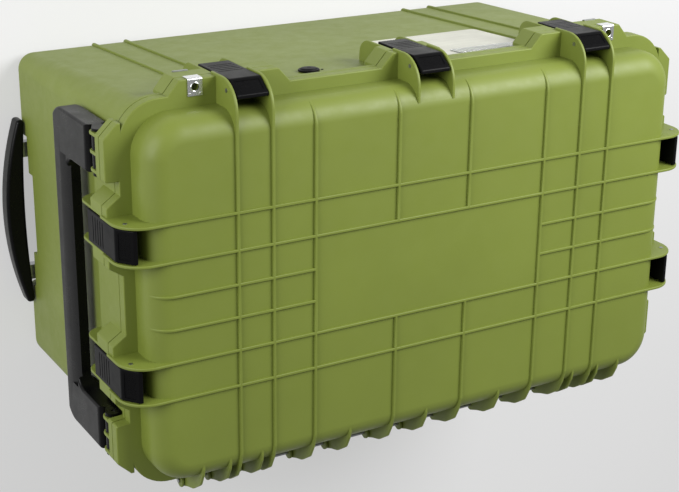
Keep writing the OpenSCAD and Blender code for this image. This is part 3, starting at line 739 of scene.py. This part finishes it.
def wall_y(z):
    """Y of the latch-side wall at height z."""
    share = (z - FOOT_H - BASE_EDGE) / (PART_Z - FOOT_H - BASE_EDGE)
    return BASE_LOW_Y[0] + (BASE_TOP_Y[0] - BASE_LOW_Y[0]) * share


def wall_ribs():
    low, high, proud = FOOT_H + BASE_EDGE, PART_Z - 60, 2.6
    outline = rounded([
        (wall_y(high) + 4, high + 8), (wall_y(high) - proud, high), (wall_y(low) - proud, low - 6, 6),
        (wall_y(low) + BASE_EDGE / 2, FOOT_H + 1), (-190, low),
    ], 5)
    return [
        plate(outline, FIN_T, across_x(side * x))
        for side in (-1, 1) for x in RIB_X_LONG[1:]
    ]


CHANNEL = (-70, 104, 31)     # pull-handle channel: start, half width, top
SCOOP = (340, 55, 45)        # finger scoop behind the grip
WELL = (-297, 94, 48, 160)   # wheel wells: inner end, top, width, place


def hollow_boxes(grow):
    """Pull-handle channel, finger scoop and wheel wells, as boxes grown by grow."""
    low = -40 - grow
    boxes = [
        block((CHANNEL[0] - grow, -CHANNEL[1] - grow, low), (460, CHANNEL[1] + grow, CHANNEL[2] + grow)),
        block((SCOOP[0] - grow, -SCOOP[1] - grow, low), (440, SCOOP[1] + grow, SCOOP[2] + grow)),
    ]
    for side in (-1, 1):
        y, half = side * WELL[3], WELL[2] / 2 + grow
        boxes.append(block((-450, y - half, low), (WELL[0] + grow, y + half, WELL[1] + grow)))
    return boxes


def sealing_ridge():
    """Low ridge on the rim that presses into the lid's seal."""
    x, y = (value - 1.5 for value in corner_mm("lid_gasket", 1)[:2])
    low, high = PART_Z - 2, corner_mm("lid_gasket", 0)[2] - 0.4
    outer = slab("ridge", box_outline(-x, x, -y, y, 38, 10), [(0, low), (0, high - 0.6), (0.5, high)])
    x, y = x - 3.4, y - 3.4
    inner = slab("ridge", box_outline(-x, x, -y, y, 35, 10), [(0, low - 1), (0, high + 1)])
    return combine(outer, [inner], "DIFFERENCE")


def make_base():
    fins = rounded([(-20, -0.3), (LUG_OUT, -0.3), (LUG_OUT, -75.5, 19.5), (-20, -75.5)], 8)
    parts = [base_block(0, PART_Z - 2), base_flare()] + end_bands()
    parts += lugs(-FRONT_LUG_H, -LATCH_LUG_H, -HANDLE_LUG_H, -SPLIT)
    parts += handle_combs() + base_knuckles() + wall_ribs() + [sealing_ridge()]
    for site in SITES:
        parts += both_fins(fins, site)
    cavity = combine(base_block(WALL, PART_Z + 5), hollow_boxes(WALL), "DIFFERENCE")
    cuts = [cavity] + hollow_boxes(0) + padlock_cutters(-30, 5)
    finish(union(parts, cuts), "base", green, "base", ["base_shell"])


# ---------- repeated details ----------


class Detail:
    """A small Geometry Nodes group: named inputs, one copy of a form on each point, one material."""

    def __init__(self, name, material, **inputs):
        self.group = bpy.data.node_groups.new(name, "GeometryNodeTree")
        self.material = material
        interface = self.group.interface
        interface.new_socket("Geometry", in_out="INPUT", socket_type="NodeSocketGeometry")
        for key, value in inputs.items():
            kind = {int: "NodeSocketInt", float: "NodeSocketFloat"}.get(type(value), "NodeSocketObject")
            socket = interface.new_socket(key, in_out="INPUT", socket_type=kind)
            if kind != "NodeSocketObject":
                socket.default_value = value
        interface.new_socket("Geometry", in_out="OUTPUT", socket_type="NodeSocketGeometry")
        self.start = self.group.nodes.new("NodeGroupInput")

    def node(self, kind, links, **settings):
        """Adds a node. links maps its input sockets to output sockets."""
        node = self.group.nodes.new(kind)
        for key, value in settings.items():
            setattr(node, key, value)
        for key, output in links.items():
            self.group.links.new(output, node.inputs[key])
        return node

    def end(self, instances):
        realized = self.node("GeometryNodeRealizeInstances", {"Geometry": instances})
        painted = self.node("GeometryNodeSetMaterial", {"Geometry": realized.outputs["Geometry"]})
        painted.inputs["Material"].default_value = self.material
        output = self.group.nodes.new("NodeGroupOutput")
        self.group.links.new(painted.outputs["Geometry"], output.inputs["Geometry"])

    def run(self, obj, **values):
        """Runs the group on obj, keeps the result as its mesh and drops the modifier."""
        modifier = obj.modifiers.new("detail", "NODES")
        modifier.node_group = self.group
        for item in self.group.interface.items_tree:
            if item.in_out == "INPUT" and item.name in values:
                modifier[item.identifier] = values[item.name]
        return applied(obj)


def stipple_detail(material):
    """Low domes scattered over a face at an even pitch."""
    detail = Detail("stipple", material, Pitch=0.0015, Radius=0.0005, Seed=7)
    start = detail.start.outputs
    scatter = detail.node(
        "GeometryNodeDistributePointsOnFaces",
        {"Mesh": start["Geometry"], "Distance Min": start["Pitch"], "Seed": start["Seed"]},
        distribute_method="POISSON",
    )
    scatter.inputs["Density Max"].default_value = 900000
    dome = detail.node("GeometryNodeMeshIcoSphere", {"Radius": start["Radius"]})
    dome.inputs["Subdivisions"].default_value = 1
    copies = detail.node(
        "GeometryNodeInstanceOnPoints",
        {"Points": scatter.outputs["Points"], "Instance": dome.outputs["Mesh"]},
    )
    detail.end(copies.outputs["Instances"])
    return detail


def spots_detail(name, material):
    """One copy of a form on each point, such as screws and rivets."""
    detail = Detail(name, material, Form=None, Size=1.0)
    start = detail.start.outputs
    form = detail.node("GeometryNodeObjectInfo", {"Object": start["Form"]})
    copies = detail.node("GeometryNodeInstanceOnPoints", {
        "Points": start["Geometry"], "Instance": form.outputs["Geometry"], "Scale": start["Size"],
    })
    detail.end(copies.outputs["Instances"])
    return detail


def tread_detail(material):
    """Blocks in a ring about the Y axis, each turned to stand square to it."""
    detail = Detail("tread", material, Form=None, Count=36, Radius=0.04)
    start = detail.start.outputs
    ring = detail.node("GeometryNodeMeshCircle", {"Vertices": start["Count"], "Radius": start["Radius"]})
    index = detail.node("GeometryNodeInputIndex", {})
    step = detail.node("ShaderNodeMath", {0: index.outputs[0], 1: start["Count"]}, operation="DIVIDE")
    turn = detail.node("ShaderNodeMath", {0: step.outputs[0]}, operation="MULTIPLY")
    turn.inputs[1].default_value = 2 * math.pi
    angles = detail.node("ShaderNodeCombineXYZ", {"Z": turn.outputs[0]})
    form = detail.node("GeometryNodeObjectInfo", {"Object": start["Form"]})
    copies = detail.node("GeometryNodeInstanceOnPoints", {
        "Points": ring.outputs["Mesh"], "Instance": form.outputs["Geometry"],
        "Rotation": angles.outputs[0],
    })
    detail.end(copies.outputs["Instances"])
    return detail


def points_object(places):
    bm = bmesh.new()
    for place in places:
        bm.verts.new(place)
    return new_object("points", bm)


def on_points(detail, form, places):
    """Copies of a form at places (millimetres). The form is kept."""
    return detail.run(points_object(places), Form=form)


# ---------- latches ----------

LEVER_W = 39.2
LEVER_FACE = 17.5                    # how far out the grooved face lies
GROOVES, GROOVE_PITCH = 5, 7
LEVER = rounded([
    (LEVER_FACE, -42, 0.8), (LEVER_FACE, 37, 6), (3, 56.5, 3), (-1.5, 57, 1.4),
    (-1.5, 24), (2, 19), (2, -22), (7.5, -28), (14.5, -42, 0.8),
], 5)
SLANT = Vector((-0.597, 0.802, 0))
SLANT_OUT = Vector((0.802, 0.597, 0))
STIPPLE_AT = Vector((10.4, 46.6, 0))


def stipple_patch(detail, outline, place, **values):
    """Domes scattered over a flat outline."""
    bm = bmesh.new()
    bm.faces.new([bm.verts.new((x, y, 0)) for x, y in outline])
    bm.transform(place)
    return detail.run(new_object("stipple", bm), **values)


def lever_master(stipple):
    """One latch lever, in (out, up, along) axes."""
    lever = plate(LEVER, LEVER_W, Matrix(), 1.3, steps=4)
    slanted = axes(SLANT, (0, 0, 1), SLANT_OUT, STIPPLE_AT)
    cuts = [
        block((-13.5, -50, -11.4), (13.5, 22, 11.4)),
        slab("bore", circle(6, 40, PIN_BORE, 20), [(0, -40), (0, 40)]),
        slab("bore", circle(7.5, 8, 2.1, 20), [(0, -40), (0, 40)]),
        slab("panel", box_outline(-8, 8, -16, 16, 2), [(0.5, -0.7), (0, 3)], slanted),
    ]
    for groove in range(GROOVES):
        place = axes((0, 1, 0), (0, 0, 1), (1, 0, 0), (LEVER_FACE, 2 - GROOVE_PITCH * groove, 0))
        outline = box_outline(-1.3, 1.3, -15.6, 15.6, 1.2)
        cuts.append(slab("groove", outline, [(0.6, -0.9), (0, 1)], place))
    lever = combine(lever, cuts, "DIFFERENCE")
    patch = stipple_patch(
        stipple, box_outline(-7.2, 7.2, -15.2, 15.2, 1.5),
        axes(SLANT, (0, 0, 1), SLANT_OUT, STIPPLE_AT - SLANT_OUT * 0.75), Pitch=0.0016, Radius=0.00055,
    )
    return joined("lever", [lever, patch])


def make_levers():
    master = lever_master(stipple_detail(latch_black))
    for site in SITES:
        lever, name = copy_at(master, site_matrix(site)), "lever_" + site
        finish(lever, name, latch_black, name, ["latch_" + name])
    bpy.data.objects.remove(master)


# ---------- side handles ----------


def handle_profile(near, far, low, x, z):
    """A side handle seen along y: round boss, arm and grip."""
    turns = [math.pi * k / 16 for k in range(17)]
    shoulder = z - 14
    return [(x + BOSS_R * math.cos(t), z + BOSS_R * math.sin(t)) for t in turns] + rounded([
        (near, shoulder, 8), (near, low + 40, 8), (near + 9, low, 4),
        (far - 8, low, 4), (far, low + 7, 7), (far, shoulder, 8),
    ], 5)


def handle_slots(x, z):
    """Cutters for the comb's fins and the pins, in both arms."""
    half, reach = COMB_T / 2 + 0.5, 30
    cuts = []
    for side in (-1, 1):
        for y in COMB_Y:
            low, high = (x - reach, side * y - half, z - 14), (x + reach, side * y + half, z + reach)
            cuts.append(block(low, high))
        ends = [(0, side * 143), (0, side * 199)]
        cuts.append(slab("bore", circle(x, z, PIN_BORE, 20), ends, across_y()))
    return cuts


def handle_master():
    """The right side handle, with its arms' comb slots and pin bores."""
    pivot_x, _, pivot_z = pivot_mm("side_handle_right")
    near, _, low = corner_mm("side_handle_right", 0)
    far, half, _ = corner_mm("side_handle_right", 1)
    top, grip_top, inner = pivot_z + 12, low + GRIP_H, half - ARM_W
    outline = rounded([
        (-half, top), (-half, low, 30), (half, low, 30), (half, top),
        (inner, top), (inner, grip_top, 17), (-inner, grip_top, 17), (-inner, top),
    ], 10)
    bow = slab("bow", outline, soft_levels(near - 1, far, 3.2, 4), across_x())
    profile = handle_profile(near, far, low, pivot_x, pivot_z)
    handle = combine(bow, [plate(profile, 2 * half + 4, across_y(), 0.5)], "INTERSECT")
    hollow = box_outline(near - 30, near + 8.5, 2 - inner, inner - 2, 8)
    crease_low, crease_top, crease_out = low + 27, grip_top + 1, far + 9
    crease = rounded([
        (far, crease_low), (far - 6.4, crease_top), (crease_out, crease_top), (crease_out, crease_low),
    ], 1)
    cuts = [slab("room", hollow, [(0, low - 9), (0, pivot_z)])]
    cuts += [plate(crease, 2 * inner + 4, across_y(), 0.1)] + handle_slots(pivot_x, pivot_z)
    return combine(handle, cuts, "DIFFERENCE")


def make_side_handles():
    master = handle_master()
    for side, place in (("right", Matrix()), ("left", MIRROR_X)):
        node = "side_handle_" + side
        finish(copy_at(master, place), "handle_" + side, handle_black, node, [node])
    bpy.data.objects.remove(master)


# ---------- pull handle ----------


def make_pull_grip():
    """A bow whose outer side curves more than its inner side."""
    low, high = corner_mm("pull_grip", 0), corner_mm("pull_grip", 1)
    half = high[1]
    steps, outer_bow, inner_bow = 28, 21, 6
    tip, tip_r = low[0] + 10, 4.5
    ys = [half * (2 * k / steps - 1) for k in range(1, steps)]
    outer = [(high[0] - outer_bow * (y / half) ** 2, y) for y in ys]
    inner = [(low[0] + inner_bow - inner_bow * (y / half) ** 2, y) for y in ys[::-1]]
    far_tip = [(tip, half, tip_r), (low[0], half, tip_r)]
    near_tip = [(low[0], -half, tip_r), (tip, -half, tip_r)]
    outline = rounded(outer + far_tip + inner + near_tip, 5)
    grip = slab("grip", outline, soft_levels(low[2], high[2], 4.2, 5))
    finish(grip, "pull_handle_grip", handle_black, "pull_handle", ["pull_grip"])


# ---------- padlock plates ----------


def padlock_plates(name, metal_finish, body, node, level, leg, rivets):
    """Folded steel plates round the padlock holes of the lid or the base, riveted to the lugs."""
    x_mid = corner_mm(node, 1)[0] - PLATE_W / 2
    sign = 1 if level > PART_Z else -1
    front, back, top = -FRONT_Y - LUG_OUT, -FRONT_Y + 2.5, level + sign * PLATE_T
    fold = rounded([
        (back, level), (back, top), (front - PLATE_T, top, 2.2),
        (front - PLATE_T, level - sign * leg), (front, level - sign * leg), (front, level, 0.8),
    ], 5)
    lip = [(PADLOCK_R, 0), (5.6, 0), (5.4, 0.5), (5.0, 0.7), (PADLOCK_R, 0.5)]
    parts = []
    for side in (-1, 1):
        sheet = plate(fold, PLATE_W, across_x(side * x_mid), 0.3, steps=2)
        hole = circle(side * x_mid, PADLOCK_Y, PADLOCK_R, 32)
        bore = slab("bore", hole, [(0, level - 3), (0, level + 3)])
        parts.append(combine(sheet, [bore], "DIFFERENCE"))
        place = axes((1, 0, 0), (0, 1, 0), (0, 0, sign), (side * x_mid, PADLOCK_Y, top))
        parts.append(turned("lip", lip, place, 32, hollow=True))
    head = [(1.3, -0.4), (1.3, 0.1), (1.0, 0.6), (0.4, 0.8)]
    form = turned("rivet", head, Matrix.Diagonal((1, 1, sign, 1)), 14)
    places = [(side * x_mid + end * 6.4, back - 2.6, top) for side in (-1, 1) for end in (-1, 1)]
    parts.append(on_points(rivets, form, places))
    bpy.data.objects.remove(form)
    finish(joined(name, parts), name, metal_finish, body, [node])


def make_padlock_plates():
    rivets = spots_detail("rivets", bright_steel)
    for body, metal_finish, level, leg in (
        ("lid", bright_steel, PART_Z + RIM_H, RIM_H - 2), ("base", steel, PART_Z - FRONT_LUG_H, 4),
    ):
        node = body + "_padlock_plates"
        padlock_plates("padlock_plates_" + body, metal_finish, body, node, level, leg, rivets)


# ---------- valve and label ----------

DRAFT = math.atan((BASE_LOW_Y[0] - BASE_TOP_Y[0]) / (PART_Z - FOOT_H - BASE_EDGE))


def on_wall(x, z):
    """Axes that lie on the leaning latch-side wall: along it, up it, out of it."""
    up = (0, -math.sin(DRAFT), math.cos(DRAFT))
    out = (0, -math.cos(DRAFT), -math.sin(DRAFT))
    return axes((1, 0, 0), up, out, (x, wall_y(z), z))


def make_valve():
    """Pressure valve: a stepped disc with a ring round its cap, and the small stud beside it."""
    level, valve_x, stud_x = PART_Z - 50, 110, 92
    profile = [
        (7, -13.9), (7, 0.2), (12.2, 0.2), (13, 0.9), (13, 2.3), (12.4, 3.0), (11.2, 3.1), (10.9, 2.7),
        (10.5, 2.7), (10.2, 3.6), (9.4, 4.3), (6, 4.8), (2.5, 4.9), (2.2, 4.5), (0.3, 4.5),
    ]
    stud = turned("stud", [(1.7, -1), (1.7, 0.3), (1.3, 0.7), (0.2, 0.8)], on_wall(stud_x, level), 16)
    valve = joined("valve", [turned("valve", profile, on_wall(valve_x, level), 56), stud])
    finish(valve, "pressure_valve", black, "base", ["valve_body"])


def make_label():
    """Card with a cut-out, and the clear strip over the cut-out. The card's UV is in millimetres."""
    place = on_wall(-123.5, PART_Z - 103)
    half_w, half_h, thick = 173 / 2, 135 / 2, 0.7
    outline = box_outline(-half_w, half_w, -half_h, half_h, 8, 8)
    card = slab("card", outline, soft_levels(0.1, thick, 0.2, 2))
    window = (-64.5, 24.5, 43.5, 64.0)
    hole = slab("hole", box_outline(*window, 3, 5), [(0, -1), (0, 2)])
    card = combine(card, [hole], "DIFFERENCE")
    uv = card.data.uv_layers.new(name="card")
    for loop in card.data.loops:
        point = card.data.vertices[loop.vertex_index].co / MM
        uv.data[loop.index].uv = point.xy
    placed = place.copy()
    placed.translation *= MM
    card.data.transform(placed)
    finish(card, "label", label_card, "base", ["label_card"])
    strip = slab(
        "strip", box_outline(window[0] - 2, window[1] + 2, window[2] - 1.5, window[3] + 1.5, 3.5, 6),
        soft_levels(thick + 0.1, thick + 1.2, 0.4, 3), place,
    )
    finish(strip, "label_strip", clear_plastic, "base", ["label_window"])


# ---------- wheels, feet and screws ----------


def make_tyres():
    """Hollow tyres with a ring of tread blocks."""
    tread = tread_detail(tyre_black)
    bore, tread_h, count = 28.1, 1.4, 44
    form = block((-1.2, -1.6, -15.2), (1.4, 1.6, 15.2), 0.5)
    for end in ("front", "rear"):
        node = "wheel_tyre_" + end
        low, high = corner_mm(node, 0), corner_mm(node, 1)
        middle = [(a + b) / 2 for a, b in zip(low, high)]
        radius, half = (high[2] - low[2]) / 2, (high[1] - low[1]) / 2
        place = axes((1, 0, 0), (0, 0, 1), (0, 1, 0), middle)
        core = radius - tread_h
        profile = rounded([
            (bore, -half), (core, -half, 5), (core, half, 5),
            (bore, half), (bore, half - 2), (bore, 2 - half),
        ], 6)
        tyre = turned("tyre", profile, place, 96, hollow=True)
        ring = tread.run(points_object([(0, 0, 0)]), Form=form, Count=count, Radius=core * MM)
        tyre = joined("tyre", [tyre, moved(ring, place)])
        finish(tyre, "tyre_" + end, tyre_black, "wheel_" + end, [node])
    bpy.data.objects.remove(form)


def make_feet():
    parts = []
    profile = [
        (10.2, 1.2), (10.2, 0.1), (11.6, 0), (12.5, 0.5), (13.2, 2.2), (13.9, 4.2),
        (13.9, 5.2), (3, 5.2), (3, 3.0), (6.2, 2.6), (7.2, 1.2),
    ]
    for x in (-262, 300):
        for y in (-150, 150):
            parts.append(turned("foot", profile, Matrix.Translation((x, y, 0)), 40, hollow=True))
    finish(joined("feet", parts), "feet", rubber, "base", ["rubber_feet"])


def screw_form():
    """Pan-head screw with a cross recess, head down."""
    screw = turned("screw", [(3.4, 0), (3.6, -0.4), (3.1, -1.1), (1.6, -1.38), (0.3, -1.4)], Matrix(), 28)
    shank = slab("shank", circle(0, 0, 1.8, 20), [(0, -0.2), (0, 5.4), (0.6, 6)])
    cross = [block((-0.45, -2, -2), (0.45, 2, -0.6)), block((-2, -0.45, -2), (2, 0.45, -0.6))]
    return combine(combine(screw, [shank], "UNION"), cross, "DIFFERENCE")


def make_screws():
    screws = spots_detail("screws", steel)
    form = screw_form()
    level = corner_mm("guide_screws", 0)[2] + 1.4
    guide = [(x, side * 112, level) for x in (-60, 66, 192, 318) for side in (-1, 1)]
    housing = [(-287, wheel * 160 + side * 14, level) for wheel in (-1, 1) for side in (-1, 1)]
    for what, places in (("guide", guide), ("housing", housing)):
        heads = on_points(screws, form, places)
        finish(heads, "screws_" + what, steel, "base", [what + "_screws"])
    bpy.data.objects.remove(form)


# ---------- foam in the lid ----------


def make_foam():
    """Convoluted foam sheet, glued to the lid with its peaks down."""
    low, high = corner_mm("lid_foam", 0), corner_mm("lid_foam", 1)
    pitch, depth, cell = 34.0, 11.0, 4.2
    count_x, count_y = (int((high[axis] - low[axis]) / cell) for axis in (0, 1))
    bm = bmesh.new()

    def height(x, y):
        wave = math.cos(2 * math.pi * x / pitch) * math.cos(2 * math.pi * y / pitch)
        return low[2] + depth * (0.5 - 0.5 * wave)

    grid = []
    for i in range(count_x + 1):
        x = low[0] + (high[0] - low[0]) * i / count_x
        row = []
        for j in range(count_y + 1):
            y = low[1] + (high[1] - low[1]) * j / count_y
            row.append((bm.verts.new((x, y, height(x, y))), bm.verts.new((x, y, high[2]))))
        grid.append(row)
    for a, b in zip(grid, grid[1:]):
        for j in range(count_y):
            bm.faces.new((a[j][0], a[j + 1][0], b[j + 1][0], b[j][0]))
            bm.faces.new((a[j][1], b[j][1], b[j + 1][1], a[j + 1][1]))
    for row in (grid[0], grid[-1]):
        for p, q in zip(row, row[1:]):
            bm.faces.new((p[0], p[1], q[1], q[0]))
    for j in (0, count_y):
        for a, b in zip(grid, grid[1:]):
            bm.faces.new((a[j][0], b[j][0], b[j][1], a[j][1]))
    bmesh.ops.recalc_face_normals(bm, faces=bm.faces)
    sheet = new_object("foam", bm)
    outline = box_outline(low[0] + 0.3, high[0] - 0.3, low[1] + 0.3, high[1] - 0.3, 24, 8)
    sheet = combine(sheet, [slab("edge", outline, [(0, low[2] - 2), (0, high[2] + 2)])], "INTERSECT")
    finish(sheet, "foam_sheet", foam, "lid", ["lid_foam"], 50)


def paint_frame():
    """Gives every CAD node that stays its material."""
    for part in frame["record"]["subparts"]:
        for material_slot in frame["nodes"][part["node"]].material_slots:
            material_slot.material = FINISHES[part["material_slot"]]


foam = foam_material()
clear_plastic = clear_material()
label_card = label_material()
FINISHES = {
    "green_shell": green, "black_plastic": black, "latch_black": latch_black,
    "handle_black": handle_black, "steel": steel, "bright_steel": bright_steel,
    "tube_aluminium": aluminium, "seal_rubber": rubber,
    "wheel_tyre": tyre_black, "foam": foam, "label_white": label_card, "clear_plastic": clear_plastic,
}

paint_frame()
make_lid()
make_base()
make_levers()
make_side_handles()
make_pull_grip()
make_padlock_plates()
make_valve()
make_label()
make_tyres()
make_feet()
make_screws()
make_foam()

# ---------- camera, floor and lights ----------


def add_camera():
    back = Vector((0.47202, -0.35019, 0.80905))
    right = Vector((0, -1, 0)).cross(back).normalized()
    up = back.cross(right)
    turn = Matrix((right, up, back)).transposed() @ Matrix.Rotation(math.radians(0.571), 3, "Z")
    data = bpy.data.cameras.new("camera")
    data.lens = 81.47
    data.sensor_width = 36
    data.sensor_fit = "HORIZONTAL"
    camera = bpy.data.objects.new("camera", data)
    camera.matrix_world = Matrix.Translation((0.97423, -0.66899, 1.87752)) @ turn.to_4x4()
    bpy.context.scene.collection.objects.link(camera)
    bpy.context.scene.camera = camera


def add_floor():
    bm = bmesh.new()
    bmesh.ops.create_grid(bm, x_segments=1, y_segments=1, size=30000)
    floor = new_object("floor", bm)
    shader = Shader("pale_floor", Roughness=0.7)
    shader.bsdf.inputs["Base Color"].default_value = rgb(0.35, 0.35, 0.35)
    shader.bsdf.inputs["Emission Color"].default_value = rgb(1, 1, 1)
    shader.bsdf.inputs["Emission Strength"].default_value = 0.42
    floor.data.materials.append(shader.material)


def add_light(name, place, aim, size, power):
    data = bpy.data.lights.new(name, "AREA")
    data.shape = "DISK"
    data.size = size
    data.energy = power
    light = bpy.data.objects.new(name, data)
    direction = Vector(aim) - Vector(place)
    light.rotation_euler = direction.to_track_quat("-Z", "Y").to_euler()
    light.location = place
    bpy.context.scene.collection.objects.link(light)


def add_world(strength):
    world = bpy.data.worlds.new("studio")
    world.use_nodes = True
    background = world.node_tree.nodes["Background"]
    background.inputs["Color"].default_value = rgb(1, 1, 1)
    background.inputs["Strength"].default_value = strength
    bpy.context.scene.world = world


add_camera()
add_floor()
add_world(0.3)
add_light("key", (-0.85, -0.95, 1.4), (0, 0, 0.35), 1.1, 37)
add_light("fill", (2.0, -0.8, 1.0), (0.35, -0.1, 0.25), 1.4, 33)
bpy.context.scene.view_settings.view_transform = "Standard"
